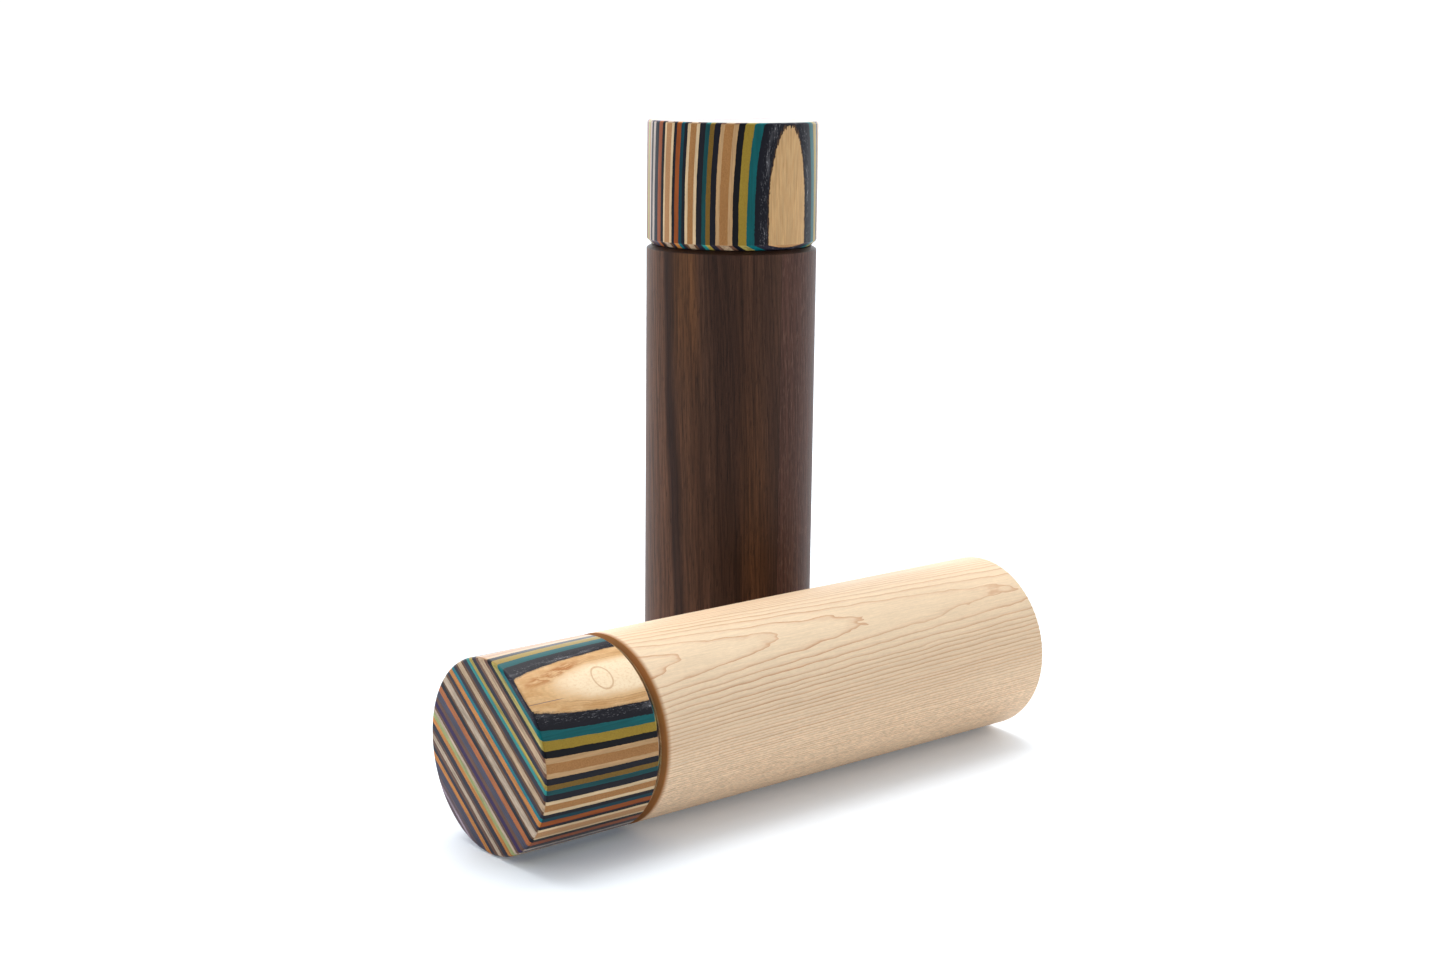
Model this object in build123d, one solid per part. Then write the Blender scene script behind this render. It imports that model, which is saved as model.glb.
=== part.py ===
from build123d import *
import os

# A pair of turned wooden grinding mills of one size. The walnut mill stands, and the maple
# mill lies on its side beside it. Each is built about its own axis, base at height 0, and
# then placed. Millimetres, +Z up, origin on the resting surface under the pair's middle.

# The pair
mill_radius = 32.0
mill_height = 226.0
mill_gap = 13.0          # clear space between the standing and the lying mill
lying_overhang = 61.0    # how far the lying mill's base passes the standing mill's axis

# Cap and body
body_top = 179.8
parting_gap = 0.3
body_chamfer_in, body_chamfer_down = 2.0, 1.2
cap_chamfer = 2.0
cap_top_round = 1.0
base_round = 0.5
sanded_round = 0.3       # the sanded edges of the two chamfers
cap_bottom = body_top + parting_gap

# Bores of the body
hopper_radius = 14.0
bore_radius, bore_top = 19.0, 48.0
base_recess_radius, base_recess_depth = 22.5, 14.0
lug_groove_radius = 20.3
lug_groove_low, lug_groove_high = 38.0, 44.0
cap_recess_radius, cap_recess_floor = 17.0, 167.0

# Cap spigot and bush
slide_gap = 0.1
washer_thick = 1.0
spigot_radius = 16.7
spigot_bottom = cap_recess_floor + washer_thick + slide_gap
bush_radius, bush_top = 9.0, 206.5
bush_flange_radius, bush_flange_thick = 12.0, 1.5
glue_line = 0.05
grip_ring_height = 176.0
grip_ring_radius, grip_ring_wire = 4.4, 0.75

# Drive shaft
shaft_flats = 6.0
shaft_bottom, shaft_top = 17.5, 204.0
hex_play = 0.12
shaft_chamfer = 0.4

# Mechanism housing
skirt_radius, skirt_bore, skirt_bottom = 22.3, 17.5, 1.5
tube_radius, tube_bore, tube_top = 18.8, 16.2, 47.0
skirt_top = 13.8
ring_seat_low, ring_seat_high, ring_seat_bore = 31.0, 32.2, 13.5
bridge_seat_low, bridge_seat_high, bridge_seat_bore = 40.6, 41.8, 14.8
lug_radius, lug_width = 20.0, 7.0
tongue_slot, tongue_bottom = 1.0, 34.0
key_width, key_depth, key_angle = 2.8, 1.0, 90.0

# Burrs
burr_low = 17.0
ring_burr_radius, ring_burr_low_bore, ring_burr_high_bore = 16.15, 13.0, 12.2
cone_low, cone_high = 16.0, 32.0
cone_skirt_top = 17.5
cone_low_radius, cone_high_radius = 12.45, 7.4
cone_bore = 5.5
fine_teeth, fine_tooth_size = 24, 0.75
feed_flutes, feed_flute_radius = 6, 1.7
feed_flute_circle, feed_flute_height = 9.95, 26.7
tooth_slant, tooth_edge_up = 22.0, 45.0
ring_tooth_lean, cone_tooth_lean, flute_lean = -3.0, -10.0, -19.0

# Cone insert, washer and spring
insert_bottom, insert_top, insert_floor = 15.0, 33.4, 16.2
insert_flange_radius = 8.0
spring_washer_radius, spring_washer_thick = 7.2, 0.8
spring_radius, spring_wire, spring_turns = 6.2, 0.45, 3

# Drive carrier and its bearing
carrier_bottom, carrier_flange_low, carrier_flange_high, carrier_top = 39.2, 46.2, 48.6, 52.0
carrier_radius, carrier_flange_radius, carrier_nose_radius = 6.8, 9.5, 5.0
clip_groove_low, clip_groove_high, clip_groove_radius = 40.6, 41.5, 5.7
clip_radius, clip_opening = 8.4, 6.0
bridge_top = 46.0
bridge_ring_bore, bridge_hub_radius = 13.8, 9.5
arm_width, first_arm_angle = 3.6, 60.0
running_play = 0.08

# Base cover, adjuster wheel and lift screw
cover_low, cover_high, cover_bore = 10.0, 14.0, 14.2
cover_arm_top, cover_hub_radius = 12.4, 6.0
cover_boss_radius, cover_boss_bottom = 4.2, 6.4
wheel_bottom, wheel_step, wheel_top = 2.0, 3.4, 7.0
wheel_radius, wheel_grip_radius, wheel_bore = 17.1, 15.4, 13.6
wheel_hub_radius, wheel_hub_top = 6.4, 9.6
wheel_notches, wheel_notch_radius = 24, 0.9
wheel_ring_low, wheel_ring_high = 2.2, 3.2
wheel_ring_radius, wheel_ring_bore = 18.3, 15.8
screw_radius, screw_bottom, screw_top, screw_flat = 2.4, 3.0, 12.6, 1.65
ball_radius, ball_height = 1.4, 13.55

standing = Pos(mill_height / 2 - lying_overhang, mill_radius + mill_gap / 2, 0)
lying = Pos(mill_height / 2, -mill_radius - mill_gap / 2, mill_radius) * Rot(0, -90, 0)


def turned(*outline):
    """A solid of revolution about the mill's axis, from its (radius, height) corners."""
    return revolve(Plane.XZ * make_face(Polyline(*outline, close=True)), Axis.Z)


def ring(outer, inner, low, high):
    """A plain ring about the mill's axis between two heights."""
    return turned((inner, low), (outer, low), (outer, high), (inner, high))


def rod(radius, low, high):
    """A plain round bar on the mill's axis between two heights."""
    return Pos(0, 0, low) * Cylinder(radius, high - low, align=(Align.CENTER, Align.CENTER, Align.MIN))


def hexagon_bar(flats, low, high):
    """A hexagonal bar on the mill's axis, by its width across flats."""
    section = RegularPolygon(flats / 2, 6, major_radius=False)
    return Pos(0, 0, low) * extrude(section, high - low)


def radial_bars(count, width, inner, outer, low, high, first_angle=first_arm_angle):
    """Straight arms or cutters from one radius to another, spread around the axis."""
    bar = Pos((inner + outer) / 2, 0, (low + high) / 2) * Box(outer - inner, width, high - low)
    return [Rot(0, 0, first_angle + 360 / count * i) * bar for i in range(count)]


def open_ring(outer, inner, low, high, opening):
    """A snap ring: a ring with a gap in it."""
    gap = Box(2 * (outer - inner), opening, 2 * (high - low))
    return ring(outer, inner, low, high) - Pos((inner + outer) / 2, 0, (low + high) / 2) * gap


def chamfer_rims(solid, low, high):
    """The two outer round edges of a chamfer that lies between two heights."""
    rims = solid.edges().filter_by(GeomType.CIRCLE)
    return rims.filter_by_position(Axis.Z, low, high).sort_by(SortBy.RADIUS)[-2:]


def body():
    tube = turned(
        (mill_radius, 0),
        (mill_radius, body_top - body_chamfer_down),
        (mill_radius - body_chamfer_in, body_top),
        (cap_recess_radius, body_top),
        (cap_recess_radius, cap_recess_floor),
        (hopper_radius, cap_recess_floor),
        (hopper_radius, bore_top),
        (bore_radius, bore_top),
        (bore_radius, lug_groove_high),
        (lug_groove_radius, lug_groove_high),
        (lug_groove_radius, lug_groove_low),
        (bore_radius, lug_groove_low),
        (bore_radius, base_recess_depth),
        (base_recess_radius, base_recess_depth),
        (base_recess_radius, 0),
    )
    rims = tube.edges().filter_by(GeomType.CIRCLE)
    tube = fillet(rims.group_by(Axis.Z)[0].sort_by(SortBy.RADIUS)[-1], base_round)
    return fillet(chamfer_rims(tube, body_top - body_chamfer_down, body_top), sanded_round)


def cap():
    head = turned(
        (0, mill_height),
        (mill_radius, mill_height),
        (mill_radius, cap_bottom + cap_chamfer),
        (mill_radius - cap_chamfer, cap_bottom),
        (spigot_radius, cap_bottom),
        (spigot_radius, spigot_bottom),
        (bush_flange_radius, spigot_bottom),
        (bush_flange_radius, spigot_bottom + bush_flange_thick),
        (bush_radius, spigot_bottom + bush_flange_thick),
        (bush_radius, bush_top),
        (0, bush_top),
    )
    head = fillet(head.edges().group_by(Axis.Z)[-1], cap_top_round)
    return fillet(chamfer_rims(head, cap_bottom, cap_bottom + cap_chamfer), sanded_round)


def head_bush():
    sleeve = turned(
        (0, spigot_bottom),
        (bush_flange_radius - glue_line, spigot_bottom),
        (bush_flange_radius - glue_line, spigot_bottom + bush_flange_thick),
        (bush_radius - glue_line, spigot_bottom + bush_flange_thick),
        (bush_radius - glue_line, bush_top),
        (0, bush_top),
    )
    groove_radius = grip_ring_radius + grip_ring_wire
    groove = rod(groove_radius, grip_ring_height - grip_ring_wire, grip_ring_height + grip_ring_wire)
    return sleeve - hexagon_bar(shaft_flats + hex_play, spigot_bottom, shaft_top + slide_gap) - groove


def grip_ring():
    return Pos(0, 0, grip_ring_height) * Torus(grip_ring_radius, grip_ring_wire)


def glide_washer():
    bore = hopper_radius + parting_gap
    return ring(spigot_radius, bore, cap_recess_floor, cap_recess_floor + washer_thick)


def drive_shaft():
    bar = hexagon_bar(shaft_flats, shaft_bottom, shaft_top)
    ends = bar.faces().sort_by(Axis.Z)
    return chamfer(ends[0].edges() + ends[-1].edges(), shaft_chamfer)


def drive_carrier():
    hub = turned(
        (0, carrier_bottom),
        (carrier_radius, carrier_bottom),
        (carrier_radius, clip_groove_low),
        (clip_groove_radius, clip_groove_low),
        (clip_groove_radius, clip_groove_high),
        (carrier_radius, clip_groove_high),
        (carrier_radius, carrier_flange_low),
        (carrier_flange_radius, carrier_flange_low),
        (carrier_flange_radius, carrier_flange_high),
        (carrier_radius, carrier_flange_high),
        (carrier_nose_radius, carrier_top),
        (0, carrier_top),
    )
    return hub - hexagon_bar(shaft_flats + hex_play, carrier_bottom, carrier_top)


def drive_clip():
    inner = clip_groove_radius + glue_line
    low, high = clip_groove_low + glue_line, clip_groove_high - glue_line
    return open_ring(clip_radius, inner, low, high, clip_opening)


def bearing_bridge():
    rim = ring(tube_bore - glue_line, bridge_ring_bore, bridge_seat_high, bridge_top)
    hub = ring(bridge_hub_radius, carrier_radius + running_play, bridge_seat_high, bridge_top)
    reach = bridge_hub_radius - slide_gap, bridge_ring_bore + slide_gap
    return rim + hub + radial_bars(3, arm_width, *reach, bridge_seat_high, bridge_top)


def mechanism_housing():
    shell = turned(
        (skirt_radius, skirt_bottom),
        (skirt_radius, skirt_top),
        (tube_radius, skirt_top),
        (tube_radius, tube_top),
        (tube_bore, tube_top),
        (tube_bore, bridge_seat_high),
        (bridge_seat_bore, bridge_seat_high),
        (bridge_seat_bore, bridge_seat_low),
        (tube_bore, bridge_seat_low),
        (tube_bore, ring_seat_high),
        (ring_seat_bore, ring_seat_high),
        (ring_seat_bore, ring_seat_low),
        (tube_bore, ring_seat_low),
        (tube_bore, cover_high),
        (skirt_bore, cover_high),
        (skirt_bore, wheel_ring_high + slide_gap),
        (wheel_ring_radius + slide_gap, wheel_ring_high + slide_gap),
        (wheel_ring_radius + slide_gap, wheel_ring_low - slide_gap),
        (skirt_bore, wheel_ring_low - slide_gap),
        (skirt_bore, skirt_bottom),
    )
    lug_low, lug_high = lug_groove_low + parting_gap, lug_groove_high - parting_gap
    lug_band = ring(lug_radius, tube_radius - slide_gap, lug_low, lug_high)
    lug_window = Pos(lug_radius, 0, tube_top / 2) * Box(lug_radius, lug_width, tube_top)
    for side in (0, 180):
        shell += lug_band & Rot(0, 0, side) * lug_window
        for edge in (-1, 1):
            offset = edge * (lug_width + tongue_slot) / 2
            slot = Pos(tube_radius, offset, (tongue_bottom + tube_top) / 2)
            slot *= Box(2 * (tube_radius - bridge_seat_bore), tongue_slot, tube_top - tongue_bottom)
            shell -= Rot(0, 0, side) * slot
    key_reach = tube_bore - key_depth, tube_bore + slide_gap
    return shell + radial_bars(2, key_width, *key_reach, burr_low, ring_seat_low, key_angle)


def slanted_cuts(tool, count, radius, height, lean):
    """Copies of a cutter around the axis, each leaning with the cone and twisted across it."""
    cut = Pos(radius, 0, height) * Rot(0, lean, 0) * Rot(tooth_slant, 0, 0) * tool
    return [Rot(0, 0, 360 / count * i) * cut for i in range(count)]


def fine_tooth(length):
    """The square cutter of one fine tooth, held on edge."""
    return Rot(0, 0, tooth_edge_up) * Box(fine_tooth_size, fine_tooth_size, length)


def ring_burr():
    blank = turned(
        (ring_burr_low_bore, burr_low),
        (ring_burr_radius, burr_low),
        (ring_burr_radius, ring_seat_low),
        (ring_burr_high_bore, ring_seat_low),
    )
    middle = (burr_low + ring_seat_low) / 2
    bore = (ring_burr_low_bore + ring_burr_high_bore) / 2
    tooth = fine_tooth(2 * (ring_seat_low - burr_low))
    teeth = slanted_cuts(tooth, fine_teeth, bore, middle, ring_tooth_lean)
    keyway_width = key_width + 2 * slide_gap
    keyway_reach = tube_bore - key_depth - slide_gap, tube_bore + key_depth
    return blank - teeth - radial_bars(2, keyway_width, *keyway_reach, burr_low, ring_seat_low, key_angle)


def cone_burr():
    blank = turned(
        (cone_bore, cone_low),
        (cone_low_radius, cone_low),
        (cone_low_radius, cone_skirt_top),
        (cone_high_radius, cone_high),
        (cone_bore, cone_high),
    )
    length = cone_high - cone_low
    teeth = slanted_cuts(fine_tooth(length), fine_teeth, cone_low_radius, cone_skirt_top, cone_tooth_lean)
    flute = Cylinder(feed_flute_radius, length)
    flutes = slanted_cuts(flute, feed_flutes, feed_flute_circle, feed_flute_height, flute_lean)
    return blank - teeth - flutes


def cone_insert():
    core = turned(
        (0, insert_bottom),
        (insert_flange_radius, insert_bottom),
        (insert_flange_radius, cone_low),
        (cone_bore - glue_line, cone_low),
        (cone_bore - glue_line, insert_top),
        (0, insert_top),
    )
    return core - hexagon_bar(shaft_flats + hex_play, insert_floor, insert_top)


def spring_washer():
    return ring(spring_washer_radius, cone_bore + slide_gap, cone_high, cone_high + spring_washer_thick)


def burr_spring():
    low = cone_high + spring_washer_thick + spring_wire
    high = carrier_bottom - spring_wire
    path = Pos(0, 0, low) * Helix((high - low) / spring_turns, high - low, spring_radius)
    return sweep(Plane(path @ 0, z_dir=path % 0) * Circle(spring_wire), path, is_frenet=True)


def screw_section(play):
    """The lift screw's D-shaped section, grown by a little for its keyed hole."""
    edge = screw_radius + play
    keep = Pos(screw_flat + play - edge, 0) * Rectangle(2 * edge, 2 * edge)
    return Circle(edge) & keep


def base_cover():
    rim = turned(
        (cover_bore, cover_low),
        (skirt_bore - slide_gap, cover_low),
        (skirt_bore - slide_gap, cover_high),
        (tube_bore - slide_gap, cover_high),
        (tube_bore - slide_gap, burr_low),
        (cover_bore, burr_low),
    )
    hub = rod(cover_hub_radius, cover_low, cover_arm_top)
    boss = rod(cover_boss_radius, cover_boss_bottom, cover_low)
    arms = radial_bars(3, arm_width, slide_gap, cover_bore + slide_gap, cover_low, cover_arm_top)
    keyed_bar = extrude(screw_section(slide_gap), cover_arm_top - cover_boss_bottom)
    return rim + hub + boss + arms - Pos(0, 0, cover_boss_bottom) * keyed_bar


def lift_screw():
    shank = Pos(0, 0, screw_bottom) * extrude(screw_section(0), screw_top - screw_bottom)
    return shank - Pos(0, 0, ball_height) * Sphere(ball_radius)


def thrust_ball():
    return Pos(0, 0, ball_height) * Sphere(ball_radius)


def adjuster_wheel():
    rim = turned(
        (wheel_bore, wheel_bottom),
        (wheel_grip_radius, wheel_bottom),
        (wheel_grip_radius, wheel_step),
        (wheel_radius, wheel_step),
        (wheel_radius, wheel_top),
        (wheel_bore, wheel_top),
    )
    hub = rod(wheel_hub_radius, wheel_bottom, wheel_hub_top)
    spoke_top = wheel_top - slide_gap
    arms = radial_bars(3, arm_width, screw_radius, wheel_bore + slide_gap, wheel_step, spoke_top)
    boss_room = rod(cover_boss_radius + slide_gap, cover_boss_bottom - slide_gap, wheel_hub_top)
    thread = rod(screw_radius + running_play, wheel_bottom, wheel_hub_top)
    notch = rod(wheel_notch_radius, wheel_bottom, wheel_step)
    notches = [
        Rot(0, 0, 360 / wheel_notches * i) * Pos(wheel_bore, 0, 0) * notch for i in range(wheel_notches)
    ]
    return rim + hub + arms - boss_room - thread - notches


def wheel_ring():
    return open_ring(wheel_ring_radius, wheel_ring_bore, wheel_ring_low, wheel_ring_high, clip_opening)


pieces = [
    body, cap, head_bush, grip_ring, glide_washer, drive_shaft, drive_carrier, drive_clip,
    bearing_bridge, mechanism_housing, ring_burr, cone_burr, cone_insert, spring_washer,
    burr_spring, base_cover, lift_screw, thrust_ball, adjuster_wheel, wheel_ring,
]

os.makedirs("parts", exist_ok=True)
for make_piece in pieces:
    piece = make_piece()
    for wood, place in (("walnut", standing), ("maple", lying)):
        export_step(place * piece, f"parts/{wood}_{make_piece.__name__}.step")
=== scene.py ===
from math import cos, radians, sin

import bpy
from mathutils import Matrix, Vector


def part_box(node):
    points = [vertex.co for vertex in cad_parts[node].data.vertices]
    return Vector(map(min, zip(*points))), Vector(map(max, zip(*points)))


# A walnut mill that stands and a maple mill that lies in front of it, each with a turning cap
# laminated from coloured plies. Metres, in the CAD frame. Inside materials, lengths are in
# millimetres of the mill's own frame: u across the plies, v along them, h up from the base.

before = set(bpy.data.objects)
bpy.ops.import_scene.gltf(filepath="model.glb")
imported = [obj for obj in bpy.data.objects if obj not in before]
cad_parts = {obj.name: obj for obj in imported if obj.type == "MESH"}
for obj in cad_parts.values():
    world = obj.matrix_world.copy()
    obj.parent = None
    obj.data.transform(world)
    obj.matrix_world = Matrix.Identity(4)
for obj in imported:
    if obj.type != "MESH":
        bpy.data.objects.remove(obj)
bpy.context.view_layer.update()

walnut_low, walnut_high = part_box("walnut_body")
maple_low, maple_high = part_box("maple_body")
radius = (walnut_high.x - walnut_low.x) / 2
mill_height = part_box("walnut_cap")[1].z
walnut_base = Vector(((walnut_low.x + walnut_high.x) / 2, (walnut_low.y + walnut_high.y) / 2, 0))
maple_base = Vector((maple_high.x, (maple_low.y + maple_high.y) / 2, radius))
flat_turn = radians(37)         # the lying cap's flat ply is turned this far from the top to the front
up = Vector((0, 0, 1))
walnut_axis = up
walnut_across = Vector((0, -1, 0))
maple_axis = Vector((-1, 0, 0))
maple_across = Vector((0, -sin(flat_turn), cos(flat_turn)))

metre = 1000.0                  # in millimetres
radius_mm = radius * metre
height_mm = mill_height * metre
bevel_foot = (walnut_high.z - walnut_low.z) * metre - 1.2       # where the body's top bevel begins

# Ply colours, each with the look of its long sides and the look of its end grain.
dyes = {
    "natural": ("#c49f70", "#b98d60"),
    "navy": ("#15151d", "#292834"),
    "black": ("#0f0f13", "#141620"),
    "teal": ("#0b5558", "#0d686e"),
    "dark_teal": ("#104346", "#2a827f"),
    "deep_teal": ("#0c3842", "#0d6a75"),
    "yellow": ("#947a2c", "#a59653"),
    "olive": ("#725620", "#9f8b41"),
    "buff": ("#b59066", "#69493a"),
    "light": ("#cbb08a", "#5c3e2b"),
    "ash": ("#b0a096", "#604338"),
    "tan": ("#9f7042", "#b09679"),
    "fawn": ("#a97d55", "#b09c87"),
    "orange": ("#8c461b", "#ba783a"),
    "red_orange": ("#8c492a", "#a45f34"),
    "slate": ("#1d1f27", "#444252"),
    "indigo": ("#1c161f", "#2f1a48"),
    "lime": ("#93924c", "#959a66"),
    "pink": ("#8d7c86", "#9c8a96"),
    "plum": ("#6a5a62", "#5d4c51"),
}

# The glued stack, from the flat side down: each ply's lower face, in radii from the axis.
plies = [
    (0.957, "natural"), (0.900, "navy"), (0.8555, "teal"), (0.8075, "yellow"), (0.761, "black"),
    (0.728, "buff"), (0.6565, "tan"), (0.624, "buff"), (0.572, "navy"), (0.526, "olive"),
    (0.483, "dark_teal"), (0.4275, "navy"), (0.3935, "light"), (0.319, "tan"), (0.288, "light"),
    (0.247, "navy"), (0.1985, "deep_teal"), (0.142, "orange"), (0.0995, "navy"), (0.067, "light"),
    (-0.020, "fawn"), (-0.050, "light"), (-0.095, "black"), (-0.162, "red_orange"), (-0.245, "slate"),
    (-0.300, "ash"), (-0.345, "indigo"), (-0.380, "ash"), (-0.420, "fawn"), (-0.470, "lime"),
    (-0.522, "orange"), (-0.577, "navy"), (-0.617, "ash"), (-0.668, "fawn"), (-0.713, "ash"),
    (-0.753, "navy"), (-0.800, "orange"), (-0.882, "slate"), (-0.930, "plum"), (-0.957, "pink"),
    (-1.1, "plum"),
]
crossed = ("tan", "fawn", "yellow", "olive")        # plies whose fibres run across the axis
flat_ply = plies[0][0]
ramp_split = 24                 # a ramp holds 32 stops, so the first 24 plies have a ramp of their own
ramp_reach = 1.1                # the ramps run from minus this many radii to plus this many

growth_layer = 0.86             # millimetres of maple grown in a year
first_arch = 0.68               # millimetres that shift the layers, so that the arches close in place
layer_lean = 0.0303             # the layers' slope outwards, down from the cap's top
lean_easing = 0.0000479         # half of what that slope loses per millimetre

glue_joint = -2.95              # millimetres round the walnut body: where its second stave begins
far_joint = 2.2                 # radii round the body: where the second stave ends


def linear(code):
    """A colour from its six-digit sRGB code, as the linear values that nodes take."""
    channels = [int(code[i:i + 2], 16) / 255 for i in (1, 3, 5)]
    return [c / 12.92 if c <= 0.04045 else ((c + 0.055) / 1.055) ** 2.4 for c in channels] + [1.0]


class Graph:
    """The nodes of a material or a world, written as expressions of numbers, lists and sockets."""

    def __init__(self, owner):
        owner.use_nodes = True
        self.owner = owner
        self.tree = owner.node_tree
        self.shader = next(n for n in self.tree.nodes if n.type in ("BSDF_PRINCIPLED", "BACKGROUND"))

    def put(self, socket, value):
        if isinstance(value, bpy.types.NodeSocket):
            self.tree.links.new(value, socket)
        else:
            socket.default_value = value

    def node(self, kind, inputs, **settings):
        made = self.tree.nodes.new(kind)
        for key, value in settings.items():
            setattr(made, key, value)
        for key, value in inputs.items():
            self.put(made.inputs[key], value)
        return made

    def math(self, operation, *values):
        return self.node("ShaderNodeMath", dict(enumerate(values)), operation=operation).outputs[0]

    def add(self, a, b):
        return self.math("ADD", a, b)

    def sub(self, a, b):
        return self.math("SUBTRACT", a, b)

    def mul(self, a, b):
        return self.math("MULTIPLY", a, b)

    def div(self, a, b):
        return self.math("DIVIDE", a, b)

    def larger(self, a, b):
        return self.math("MAXIMUM", a, b)

    def absolute(self, a):
        return self.math("ABSOLUTE", a)

    def vector(self, x, y, z):
        return self.node("ShaderNodeCombineXYZ", {0: x, 1: y, 2: z}).outputs[0]

    def stretch(self, place, *rates):
        """The vector of a place whose three lengths are each multiplied by a rate of their own."""
        return self.vector(*(self.mul(length, rate) for length, rate in zip(place, rates)))

    def vector_math(self, operation, a, b, output="Vector"):
        return self.node("ShaderNodeVectorMath", {0: a, 1: b}, operation=operation).outputs[output]

    def dot(self, a, b):
        return self.vector_math("DOT_PRODUCT", a, b, "Value")

    def span(self, value, low, high, to_low=0.0, to_high=1.0, smooth=True):
        """Maps low..high to a new range, clamped, with soft ends when smooth."""
        kind = "SMOOTHSTEP" if smooth else "LINEAR"
        inputs = {"Value": value, "From Min": low, "From Max": high, "To Min": to_low, "To Max": to_high}
        return self.node("ShaderNodeMapRange", inputs, interpolation_type=kind).outputs["Result"]

    def band(self, value, middle, half, soft):
        """One inside a band around middle, falling to zero over the soft edge."""
        return self.span(self.absolute(self.sub(value, middle)), half, half + soft, 1.0, 0.0)

    def noise(self, vector, detail=3.0, roughness=0.5, distortion=0.0, scale=1.0):
        inputs = {
            "Vector": vector, "Scale": scale, "Detail": detail,
            "Roughness": roughness, "Distortion": distortion,
        }
        return self.node("ShaderNodeTexNoise", inputs).outputs["Fac"]

    def wobble(self, vector, size, detail=2.0):
        """Noise centred on zero, of about the given size."""
        return self.mul(self.sub(self.noise(vector, detail), 0.5), 2 * size)

    def mix(self, factor, a, b, blend="MIX"):
        """Mixes two colours. The mixer's sockets for them are inputs 6 and 7 and output 2."""
        mixer = self.node("ShaderNodeMix", {}, data_type="RGBA", blend_type=blend)
        for socket, value in ((0, factor), (6, a), (7, b)):
            self.put(mixer.inputs[socket], value)
        return mixer.outputs[2]

    def tint(self, colour, amount, code):
        """Mixes an amount of a second colour, given by its code, into a colour."""
        return self.mix(amount, colour, linear(code))

    def shade(self, colour, amount):
        """Multiplies a colour by one plus a small signed amount."""
        grey = self.add(amount, 1.0)
        return self.mix(1.0, colour, self.vector(grey, grey, grey), "MULTIPLY")

    def vary(self, colour, noise, contrast):
        """Lightens a colour where a noise is above a half, and darkens it where it is below."""
        return self.shade(colour, self.mul(self.sub(noise, 0.5), contrast))

    def steps(self, value, stops):
        """A colour ramp with sharp steps, from (position, colour) pairs."""
        made = self.node("ShaderNodeValToRGB", {0: value})
        made.color_ramp.interpolation = "CONSTANT"
        elements = made.color_ramp.elements
        while len(elements) < len(stops):
            elements.new(0.5)
        for element, (position, colour) in zip(elements, stops):
            element.position = position
            element.color = colour
        return made.outputs["Color"]

    def bump(self, height, depth_mm):
        """Relief whose height runs from 0 to 1 over a depth in millimetres."""
        inputs = {"Height": height, "Strength": 1.0, "Distance": depth_mm / metre}
        return self.node("ShaderNodeBump", inputs).outputs["Normal"]

    def object_mm(self, factors=(1, 1, 1)):
        """The place in millimetres, with each of the object's axes multiplied by its own factor."""
        place = self.node("ShaderNodeTexCoord", {}).outputs["Object"]
        return self.vector_math("MULTIPLY", place, [metre * factor for factor in factors])

    def mill_frame(self, base, axis, across):
        """The place (u, v, h) in a mill's own frame, and how squarely a face looks along the axis."""
        point = self.node("ShaderNodeTexCoord", {})
        from_base = self.vector_math("SUBTRACT", point.outputs["Object"], base)
        from_base = self.vector_math("MULTIPLY", from_base, [metre] * 3)
        along = axis.cross(across)
        place = [self.dot(from_base, direction) for direction in (across, along, axis)]
        return place, self.absolute(self.dot(point.outputs["Normal"], axis))

    def finish(self, **sockets):
        """Sets the shader's sockets, whose names are written with underscores."""
        for name, value in sockets.items():
            self.put(self.shader.inputs[name.replace("_", " ")], value)
        return self.owner

    def oiled_wood(self, colour, roughness, relief, depth_mm):
        """Wood with a dull oil finish and a fine relief."""
        normal = self.bump(relief, depth_mm)
        return self.finish(Base_Color=colour, Roughness=roughness, Normal=normal, Specular_IOR_Level=0.12)


def ply_ramp(g, stack, look):
    """The look of each ply by its place in the stack, from two ramps that share the plies."""
    position = g.div(g.add(stack, ramp_reach), 2 * ramp_reach)
    halves = []
    for part in (plies[:ramp_split], plies[ramp_split:]):
        stops = [((low + ramp_reach) / (2 * ramp_reach), look(dye)) for low, dye in reversed(part)]
        stops[0] = (0.0, stops[0][1])
        halves.append(g.steps(position, stops))
    split = (plies[ramp_split - 1][0] + ramp_reach) / (2 * ramp_reach)
    return g.mix(g.math("GREATER_THAN", position, split), halves[1], halves[0])


def bowed_stack(g, place, bow, reach, twist, offset):
    """The place in the stack, in radii from the axis. The plies bow outwards over reach radii to
    the cap's top, by bow radii in the middle and by twist more for each radius along them."""
    u, v, h = place
    from_top = g.sub(height_mm, h)
    curve = g.math("POWER", g.span(from_top, 0.0, reach * radius_mm, 1.0, 0.0, smooth=False), 2.0)
    bow = g.add(bow, g.mul(v, twist / radius_mm))
    slow = g.wobble(g.stretch(place, 0.2, 0.05, 0.04), 0.003)
    ragged = g.wobble(g.stretch(place, 3.0, 1.2, 1.2), 0.003, 3.0)
    tufts = g.wobble(g.stretch(place, 0.3, 2.2, 0.12), 0.004, 3.0)
    stack = g.sub(g.sub(g.div(u, radius_mm), g.mul(curve, bow)), offset)
    return g.add(stack, g.add(slow, g.add(ragged, tufts)))


def ply_fibre(g, place, cross_ply, end_face):
    """Fibres that run along the axis in most plies, and across it in the cross plies."""
    fibre_up = g.noise(g.stretch(place, 1.1, 1.7, 0.07), 5.0, 0.65)
    fibre_across = g.noise(g.stretch(place, 1.3, 0.10, 1.3), 5.0, 0.7)
    speckle = g.noise(g.stretch(place, 3.0, 3.0, 3.0), 3.0, 0.65)
    side = g.mix(cross_ply, fibre_up, speckle)
    end = g.mix(cross_ply, g.mix(0.6, speckle, fibre_across), fibre_across)
    return g.mix(end_face, side, end)


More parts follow.
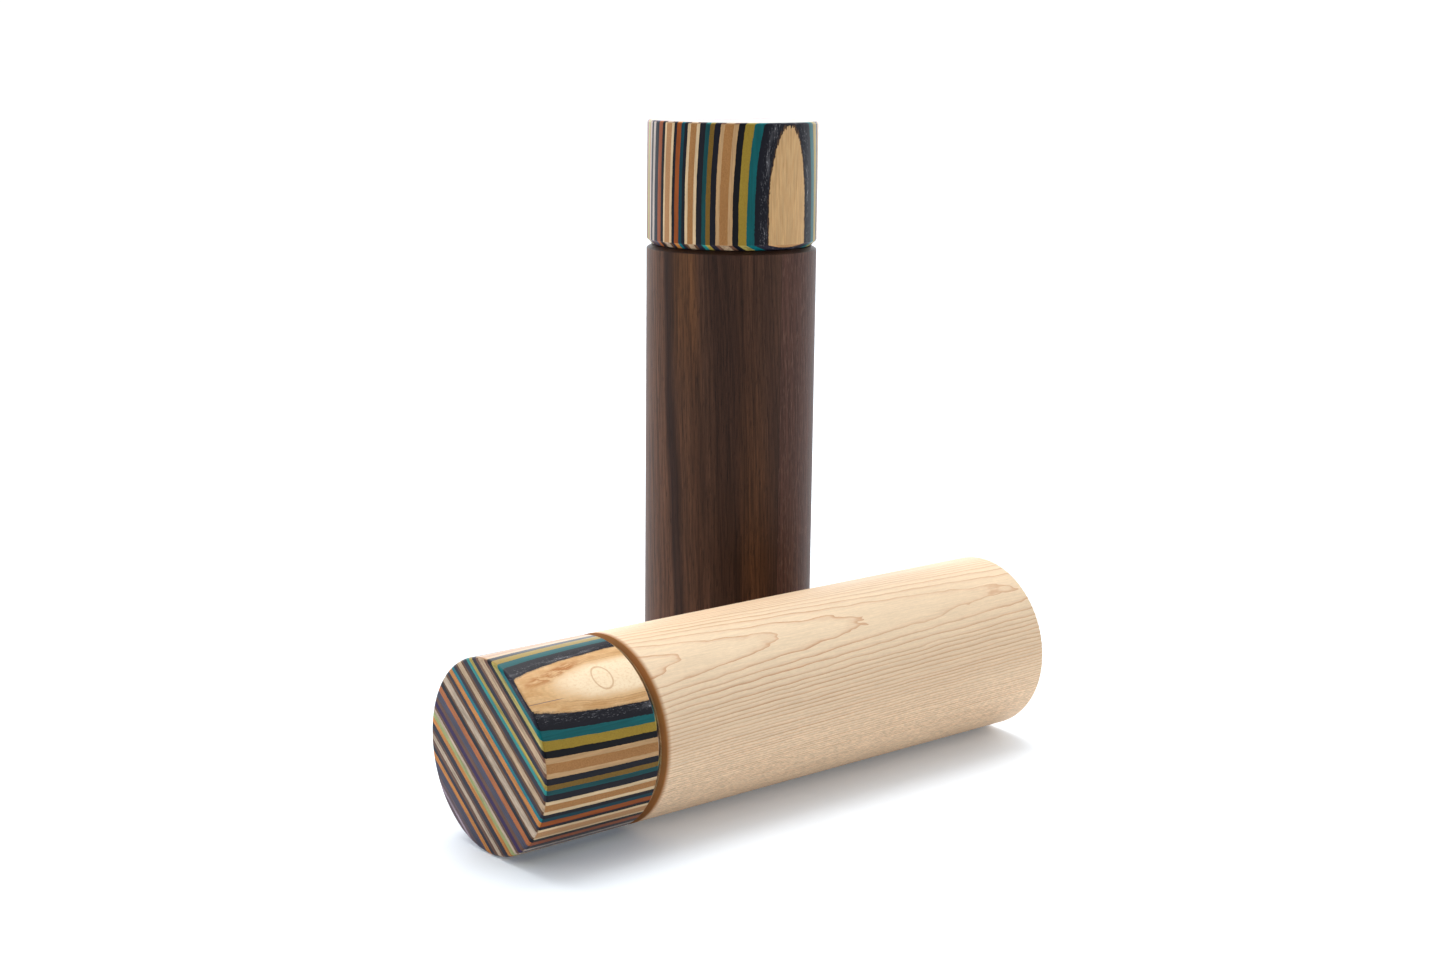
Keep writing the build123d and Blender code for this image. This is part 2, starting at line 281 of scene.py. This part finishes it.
def dried_glue(g, place, stack):
    """A pale bloom and short scratches in the dark ply beside the flat one."""
    bloom = g.noise(g.stretch(place, 0.2, 0.4, 0.09), 3.0)
    bloom = g.mul(g.band(stack, flat_ply - 0.013, 0.003, 0.012), g.span(bloom, 0.48, 0.72))
    scratches = g.noise(g.stretch(place, 2.4, 2.4, 0.65), 4.0, 0.75)
    scratches = g.mul(g.band(stack, flat_ply - 0.017, 0.010, 0.012), g.span(scratches, 0.56, 0.66))
    return g.larger(g.mul(bloom, 0.15), g.mul(scratches, g.add(0.30, g.mul(bloom, 0.7))))


def cap_plies(name, base, axis, across, figure, **bowing):
    """The laminated wood of a cap, with a figure drawn on its flat ply."""
    g = Graph(bpy.data.materials.new(name))
    place, facing = g.mill_frame(base, axis, across)
    v, h = place[1:]
    stack = bowed_stack(g, place, **bowing)
    end_face = g.span(facing, 0.35, 0.75)
    side = ply_ramp(g, stack, lambda dye: linear(dyes[dye][0]))
    end = ply_ramp(g, stack, lambda dye: linear(dyes[dye][1]))
    cross_ply = ply_ramp(g, stack, lambda dye: [1.0 if dye in crossed else 0.0] * 3 + [1.0])

    fibre = ply_fibre(g, place, cross_ply, end_face)
    fibre_contrast = g.span(end_face, 0.0, 1.0, 1.1, 2.6, smooth=False)
    blotch = g.noise(g.stretch(place, 0.12, 0.12, 0.035), 3.0)
    glue = dried_glue(g, place, stack)
    colour = g.vary(g.mix(end_face, side, end), fibre, fibre_contrast)
    colour = g.vary(colour, blotch, 0.30)
    colour = g.tint(colour, glue, "#b4b2b6")
    flat_side = g.mul(g.span(stack, flat_ply, flat_ply + 0.003), g.sub(1.0, end_face))
    colour = figure(g, colour, flat_side, v, g.sub(height_mm, h))

    rough = g.add(0.24, g.mul(fibre, 0.20))
    relief = g.add(g.mul(fibre, 0.5), g.mul(glue, 0.5))
    return g.oiled_wood(colour, rough, relief, 0.03)


# A flat ply's figure is drawn over its colour, where the flat side is, by v and by s, which goes
# down from the cap's top. A bare number among a noise's lengths only picks another stretch of it.

def plain_figure(g, colour, where, v, s):
    """The flat ply of the walnut mill's cap: fine upright dashes and faint nested arches."""
    arch = g.add(g.mul(g.mul(v, v), 0.35), g.mul(s, 0.42))
    arch = g.add(arch, g.wobble(g.vector(g.mul(v, 0.3), g.mul(s, 0.06), 3.0), 3.5))
    rings = g.span(g.math("PINGPONG", arch, 2.6), 0.3, 2.3, 0.0, 0.16)
    colour = g.tint(colour, g.mul(where, rings), "#b57f48")
    dashes = g.noise(g.vector(g.mul(v, 3.2), g.mul(s, 0.16), 8.0), 3.0, 0.6)
    return g.tint(colour, g.mul(where, g.span(dashes, 0.50, 0.70, 0.0, 0.35)), "#a86f3a")


def ellipse(g, v, s, v_middle, s_middle, v_half, s_half):
    """Distance from a middle on the flat side, 1 on the ellipse."""
    dv = g.div(g.sub(v, v_middle), v_half)
    ds = g.div(g.sub(s, s_middle), s_half)
    return g.math("SQRT", g.add(g.mul(dv, dv), g.mul(ds, ds)))


def flames(g, oval, v, s):
    """Ragged marks that follow the far edge of the pale oval."""
    licks = g.noise(g.vector(g.mul(v, 0.55), g.mul(s, 0.14), 2.0), 4.0, 0.7, 1.0)
    far_edge = g.mul(g.band(oval, 1.10, 0.10, 0.14), g.span(v, 0.5, 3.0))
    return g.mul(g.mul(far_edge, g.span(s, 21.0, 30.0, 1.0, 0.0)), g.span(licks, 0.36, 0.54))


def knot_figure(g, colour, where, v, s):
    """The flat ply of the maple mill's cap: a pale oval with a painted highlight, a pin knot, flame marks
    and a crack.
    """
    stray = g.wobble(g.vector(g.mul(v, 0.24), g.mul(s, 0.12), 7.0), 0.12, 4.0)
    fine = g.noise(g.vector(g.mul(v, 1.3), g.mul(s, 0.8), 4.0), 3.0, 0.7)
    oval = g.add(ellipse(g, v, s, v_middle=-0.6, s_middle=37.4, v_half=7.7, s_half=28.3), stray)
    colour = g.tint(colour, g.mul(where, g.span(fine, 0.25, 0.70, 0.85, 0.45)), "#e3b988")
    brown = g.noise(g.vector(g.mul(v, 0.5), g.mul(s, 0.10), 11.0), 4.0, 0.65)
    brown = g.mul(g.span(oval, 0.98, 1.12), g.span(brown, 0.35, 0.65, 0.0, 0.55))
    colour = g.tint(colour, g.mul(where, brown), "#b98549")
    # Partly painted highlight: the oval's own paler wood, with a painted highlight of the lamp above
    # speckled over its middle.
    pale = g.mul(g.span(oval, 0.60, 1.03, 0.95, 0.0), g.span(fine, 0.30, 0.55, 0.55, 1.0))
    colour = g.tint(colour, g.mul(where, pale), "#f6dfbd")

    flanks = g.span(s, 9.0, 20.0, 0.25, 1.0)
    for ring, strength in ((1.03, 0.40), (1.13, 0.25), (1.20, 0.30), (1.31, 0.15)):
        outline = g.mul(g.mul(g.band(oval, ring, 0.003, 0.028), strength), flanks)
        colour = g.tint(colour, g.mul(where, outline), "#a06a38")
    knot = ellipse(g, v, s, v_middle=-0.45, s_middle=30.8, v_half=4.4, s_half=3.5)
    knot = g.add(knot, g.mul(stray, 0.4))
    colour = g.tint(colour, g.mul(where, g.mul(g.band(knot, 1.0, 0.03, 0.09), 0.50)), "#b8804f")
    colour = g.tint(colour, g.mul(where, g.mul(flames(g, oval, v, s), 0.85)), "#a8682f")
    crack = g.mul(g.band(v, -4.76, 0.05, 0.08), g.span(s, 11.0, 14.5, 1.0, 0.0))
    return g.tint(colour, g.mul(where, g.mul(crack, 0.85)), "#4a4660")


def growth_lines(g, place):
    """The depth across the maple's growth layers, and how strong a growth line is at a place."""
    u, v, h = place
    s = g.sub(height_mm, h)
    lean = g.sub(g.mul(s, layer_lean), g.mul(g.mul(s, s), lean_easing))
    wide_wave = g.wobble(g.stretch(place, 0.03, 0.05, 0.010), 0.25)
    small_wave = g.wobble(g.stretch(place, 0.10, 0.20, 0.070), 0.30)
    depth = g.add(g.sub(u, lean), g.add(wide_wave, small_wave))
    uneven = g.wobble(g.vector(g.mul(depth, 0.45), 0.0, 0.0), 0.45, 1.0)
    layer = g.div(g.add(g.add(depth, uneven), first_arch), growth_layer)
    behind_edge = g.mul(g.math("FRACT", layer), growth_layer)

    # The surface cuts the layers nearly flat where v is small, which draws their edges out wide,
    # so the lines are made thinner there.
    steepness = g.span(g.absolute(v), 0.0, 0.7 * radius_mm, 0.16, 1.0, smooth=False)
    edge = g.div(behind_edge, steepness)
    line = g.add(g.span(edge, 0.0, 0.42, 0.60, 0.0), g.span(edge, 0.0, 1.1, 0.35, 0.0))
    strength = g.noise(g.vector(g.math("FLOOR", layer), 3.0, g.mul(h, 0.012)), 2.0)
    return depth, g.mul(line, g.span(strength, 0.30, 0.70, 0.55, 1.15))


def maple_end_grain(g, u, v, depth, line):
    """Broad growth bands with the growth lines in them, and rays across them."""
    bands = g.noise(g.vector(g.mul(depth, 0.45), 2.0, 0.0), 3.0, 0.7)
    rays = g.noise(g.vector(g.mul(v, 1.5), g.mul(u, 0.12), 9.0), 4.0, 0.7)
    colour = g.mix(g.span(bands, 0.35, 0.65), linear("#cfae86"), linear("#b68f63"))
    colour = g.tint(colour, g.mul(line, 0.6), "#94683e")
    return g.vary(colour, rays, 0.7)


def maple_wood():
    """Flat-sawn maple: thin growth lines that close into long arches, fine fibres and ray flecks."""
    g = Graph(bpy.data.materials.new("maple_wood"))
    place, facing = g.mill_frame(maple_base, maple_axis, maple_across)
    u, v, h = place
    depth, line = growth_lines(g, place)
    fibre = g.noise(g.stretch(place, 1.6, 1.6, 0.06), 6.0, 0.7)
    blotch = g.noise(g.stretch(place, 0.05, 0.05, 0.012), 3.0)
    colour = g.mix(blotch, linear("#ebd3b3"), linear("#e4c9a8"))
    colour = g.tint(colour, g.mul(line, 0.70), "#bd7f54")
    colour = g.vary(colour, fibre, 0.40)

    # Rays show as short bright and dark flecks where the surface is cut along them, at small u.
    radial_zone = g.span(g.absolute(u), 0.10 * radius_mm, 0.80 * radius_mm, 1.0, 0.2)
    cells = g.noise(g.stretch(place, 2.4, 2.4, 0.45), 3.0, 0.7)
    flecks = g.mul(radial_zone, g.sub(g.span(cells, 0.36, 0.64), 0.5))
    colour = g.shade(colour, g.mul(flecks, 0.32))
    colour = g.mix(g.span(facing, 0.25, 0.65), colour, maple_end_grain(g, u, v, depth, line))

    # The bevel beside the cap is brown: partly its end grain, partly painted shade from the groove between
    # cap and body.
    bevel_brown_and_shade = g.span(h, bevel_foot - 2.2, bevel_foot + 0.2)
    bevel_brown_and_shade = g.mul(bevel_brown_and_shade, g.span(h, bevel_foot + 0.9, bevel_foot + 1.1, 1.0, 0.0))
    colour = g.tint(colour, bevel_brown_and_shade, "#9a6537")

    rough = g.add(0.44, g.mul(fibre, 0.14))
    relief = g.add(g.mul(fibre, 0.7), g.mul(line, 0.3))
    return g.oiled_wood(colour, rough, relief, 0.03)


def first_stave(g, across, h):
    """The walnut's larger stave: broad brown bands, a pale side, a dark heart and golden bands."""
    broad = g.noise(g.vector(g.mul(across, 0.11), 0.0, g.mul(h, 0.006)), 3.0, 0.6)
    colour = g.mix(g.span(broad, 0.30, 0.70), linear("#3b251d"), linear("#573b2c"))
    pale_side = g.span(across, -43.5, -41.0, 1.0, 0.0)
    colour = g.tint(colour, g.mul(pale_side, 0.8), "#6b4936")
    heart = g.larger(g.band(across, -18.0, 3.0, 7.0), g.band(across, -39.0, 1.0, 2.5))
    colour = g.tint(colour, g.mul(heart, 0.50), "#2c1b15")
    upper_gold = g.mul(g.band(across, -32.5, 2.5, 4.5), g.span(h, 118.0, 170.0, 0.25, 1.0))
    lower_gold = g.mul(g.band(across, -8.5, 1.5, 6.0), g.span(h, 70.0, 160.0, 0.60, 0.10))
    return g.tint(colour, g.mul(g.larger(upper_gold, lower_gold), 0.60), "#7a502f")


def walnut_wood():
    """Straight-grained walnut in two glued staves: dark and golden streaks, and open pores."""
    g = Graph(bpy.data.materials.new("walnut_wood"))
    place, facing = g.mill_frame(walnut_base, walnut_axis, walnut_across)
    u, v, h = place
    arc = g.mul(g.math("ARCTAN2", v, u), radius_mm)
    drift = g.wobble(g.stretch(place, 0.05, 0.05, 0.012), 3.0)
    across = g.add(arc, g.add(drift, g.mul(h, 0.05)))
    streak = g.noise(g.vector(g.mul(across, 0.85), 5.0, g.mul(h, 0.014)), 6.0, 0.7)
    fine = g.noise(g.stretch(place, 2.0, 2.0, 0.05), 6.0, 0.75)
    colour = g.tint(first_stave(g, across, h), g.span(streak, 0.36, 0.62, 0.60, 0.0), "#22150f")

    # The second stave is redder, with paler pores, behind a straight glue line.
    second = g.span(arc, glue_joint - 0.15, glue_joint + 0.15)
    second = g.mul(second, g.span(arc, far_joint * radius_mm, (far_joint + 0.01) * radius_mm, 1.0, 0.0))
    red = g.mix(g.span(streak, 0.3, 0.7), linear("#3b251e"), linear("#583a30"))
    colour = g.mix(g.mul(second, 0.9), colour, red)
    colour = g.tint(colour, g.mul(g.band(arc, glue_joint, 0.08, 0.12), 0.6), "#1d120e")
    colour = g.vary(colour, fine, 1.9)
    pores = g.span(g.noise(g.stretch(place, 2.6, 2.6, 0.20), 2.0), 0.56, 0.66)
    pore_colour = g.mix(second, linear("#1a0f0b"), linear("#755649"))
    colour = g.mix(g.mul(pores, 0.42), colour, pore_colour)

    end_noise = g.noise(g.stretch(place, 1.5, 1.5, 0.3), 4.0, 0.7)
    end_grain = g.vary(linear("#38241a"), end_noise, 1.2)
    colour = g.mix(g.span(facing, 0.25, 0.65), colour, end_grain)

    rough = g.add(0.42, g.mul(fine, 0.16))
    relief = g.sub(g.mul(fine, 0.6), g.mul(pores, 0.6))
    return g.oiled_wood(colour, rough, relief, 0.04)


def moulded_plastic(name, code, roughness):
    """Plastic with a fine spark-eroded texture, and a little unevenly coloured."""
    g = Graph(bpy.data.materials.new(name))
    place = g.object_mm()
    fine = g.noise(place, 3.0, scale=6.0)
    slow = g.noise(place, 2.0, scale=0.2)
    full = linear(code)
    darker = [channel * 0.95 for channel in full[:3]] + [1.0]
    rough = g.add(roughness, g.mul(fine, 0.12))
    return g.finish(Base_Color=g.mix(slow, darker, full), Roughness=rough, Normal=g.bump(fine, 0.01))


def metal(name, code, roughness, factors):
    """Metal with fine marks, which are longer along an axis with a small factor."""
    g = Graph(bpy.data.materials.new(name))
    marks = g.noise(g.object_mm(factors), 4.0, scale=3.0)
    colour = g.vary(linear(code), marks, 0.2)
    rough = g.add(roughness, g.mul(marks, 0.15))
    return g.finish(Base_Color=colour, Roughness=rough, Normal=g.bump(marks, 0.006), Metallic=1.0)


materials = {
    "walnut_body": walnut_wood(),
    "maple_body": maple_wood(),
    "walnut_cap": cap_plies(
        "walnut_cap_plies", walnut_base, walnut_axis, walnut_across, plain_figure,
        bow=0.0400, reach=1.05, twist=0.0, offset=0.0,
    ),
    "maple_cap": cap_plies(
        "maple_cap_plies", maple_base, maple_axis, maple_across, knot_figure,
        bow=0.0450, reach=1.55, twist=0.022, offset=-0.024,
    ),
}
inner_pieces = [
    (moulded_plastic("black_plastic", "#232325", 0.38),
     ["head_bush", "bearing_bridge", "mechanism_housing", "base_cover"]),
    (moulded_plastic("grey_plastic", "#8d8e90", 0.34), ["drive_carrier", "cone_insert", "adjuster_wheel"]),
    (moulded_plastic("white_nylon", "#e9e6da", 0.30), ["glide_washer"]),
    (moulded_plastic("black_rubber", "#1d1d1d", 0.55), ["grip_ring"]),
    (moulded_plastic("ceramic", "#efece2", 0.16), ["ring_burr", "cone_burr"]),
    (metal("spring_steel", "#b9babc", 0.22, (1, 1, 1)),
     ["drive_clip", "spring_washer", "burr_spring", "lift_screw", "thrust_ball", "wheel_ring"]),
]
for material, pieces in inner_pieces:
    for piece in pieces:
        materials[f"walnut_{piece}"] = material
        materials[f"maple_{piece}"] = material
materials["walnut_drive_shaft"] = metal("aluminium_up", "#c9cbce", 0.25, (1, 1, 0.02))
materials["maple_drive_shaft"] = metal("aluminium_along", "#c9cbce", 0.25, (0.02, 1, 1))
for node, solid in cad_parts.items():
    for slot in solid.material_slots:
        slot.material = materials[node]


def add_object(name, data):
    made = bpy.data.objects.new(name, data)
    bpy.context.scene.collection.objects.link(made)
    return made


def place_camera():
    """The camera stands left of the pair and a little above, looking slightly down."""
    heading, tilt, roll = radians(40.38), radians(11.30), radians(0.646)
    from_walnut = radius * Vector((-16.7375, -19.5656, 7.9129))
    forward = Vector((sin(heading) * cos(tilt), cos(heading) * cos(tilt), -sin(tilt)))
    level_right = Vector((cos(heading), -sin(heading), 0))
    level_up = level_right.cross(forward)
    camera_right = level_right * cos(roll) + level_up * sin(roll)
    camera_up = level_up * cos(roll) - level_right * sin(roll)
    turn = Matrix((camera_right, camera_up, -forward)).transposed().to_4x4()
    camera = add_object("camera", bpy.data.cameras.new("camera"))
    camera.matrix_world = Matrix.Translation(walnut_base + from_walnut) @ turn
    camera.data.lens = 54.39
    camera.data.sensor_width = 36.0
    bpy.context.scene.camera = camera
    return forward, level_right


def area_light(name, where, target, size, power):
    lamp = bpy.data.lights.new(name, "AREA")
    lamp.shape = "RECTANGLE"
    lamp.size, lamp.size_y = size
    lamp.energy = power
    stand = add_object(name, lamp)
    stand.location = where
    stand.rotation_euler = (target - where).to_track_quat("-Z", "Y").to_euler()


def soft_lights(back, right):
    """A wide sky light, a lamp above and behind, a fill from the left front and a weaker one right."""
    middle = Vector((0, 0, mill_height / 3))
    lamp = bpy.data.lights.new("sky", "SUN")
    lamp.energy = 1.6
    lamp.angle = radians(50)
    sky = add_object("sky", lamp)
    sky.rotation_euler = (back * -0.45 + right * 0.15 - up).to_track_quat("-Z", "Y").to_euler()
    above = middle + back * 0.25 + up * 0.9
    left_front = middle - back * 0.7 - right * 0.9 + up * 0.6
    right_side = middle + right * 1.0 - back * 0.2 + up * 0.4
    area_light("top", above, middle, size=(0.9, 0.6), power=2.7)
    area_light("left_front", left_front, middle, size=(0.7, 0.9), power=3.0)
    area_light("right", right_side, middle, size=(0.5, 0.9), power=1.5)


def white_surround(back):
    """Bright low behind the pair, dim on the camera's side, and plain white when seen directly."""
    dim, bright, horizon_glow, seen_white = 0.16, 1.15, 2.8, 1.10
    g = Graph(bpy.data.worlds.new("surround"))
    direction = g.node("ShaderNodeTexCoord", {}).outputs["Generated"]
    glow = g.span(g.dot(direction, back + up * 0.6), -0.5, 1.0, dim, bright)
    behind = g.span(g.dot(direction, back), 0.3, 0.8)
    horizon = g.mul(behind, g.band(g.dot(direction, up), 0.10, 0.14, 0.10))
    glow = g.add(glow, g.mul(horizon, horizon_glow))
    seen = g.node("ShaderNodeLightPath", {}).outputs["Is Camera Ray"]
    strength = g.add(g.mul(seen, seen_white), g.mul(g.sub(1.0, seen), glow))
    bpy.context.scene.world = g.finish(Color=[0.93, 0.965, 1.0, 1.0], Strength=strength)


def white_floor():
    """A table lit from below as well: the little light that comes up through it softens shadows."""
    half = 6.0
    corners = [(-half, -half, 0), (half, -half, 0), (half, half, 0), (-half, half, 0)]
    mesh = bpy.data.meshes.new("floor")
    mesh.from_pydata(corners, [], [(0, 1, 2, 3)])
    floor = add_object("floor", mesh)
    g = Graph(bpy.data.materials.new("floor"))
    mesh.materials.append(g.finish(
        Base_Color=[0.905, 0.93, 0.955, 1.0], Roughness=0.6, Specular_IOR_Level=0.2,
        Emission_Color=[0.65, 0.82, 1.0, 1.0], Emission_Strength=0.11,
    ))


view_forward, view_right = place_camera()
view_back = Vector((view_forward.x, view_forward.y, 0)).normalized()
soft_lights(view_back, view_right)
white_surround(view_back)
white_floor()
bpy.context.scene.view_settings.view_transform = "Standard"
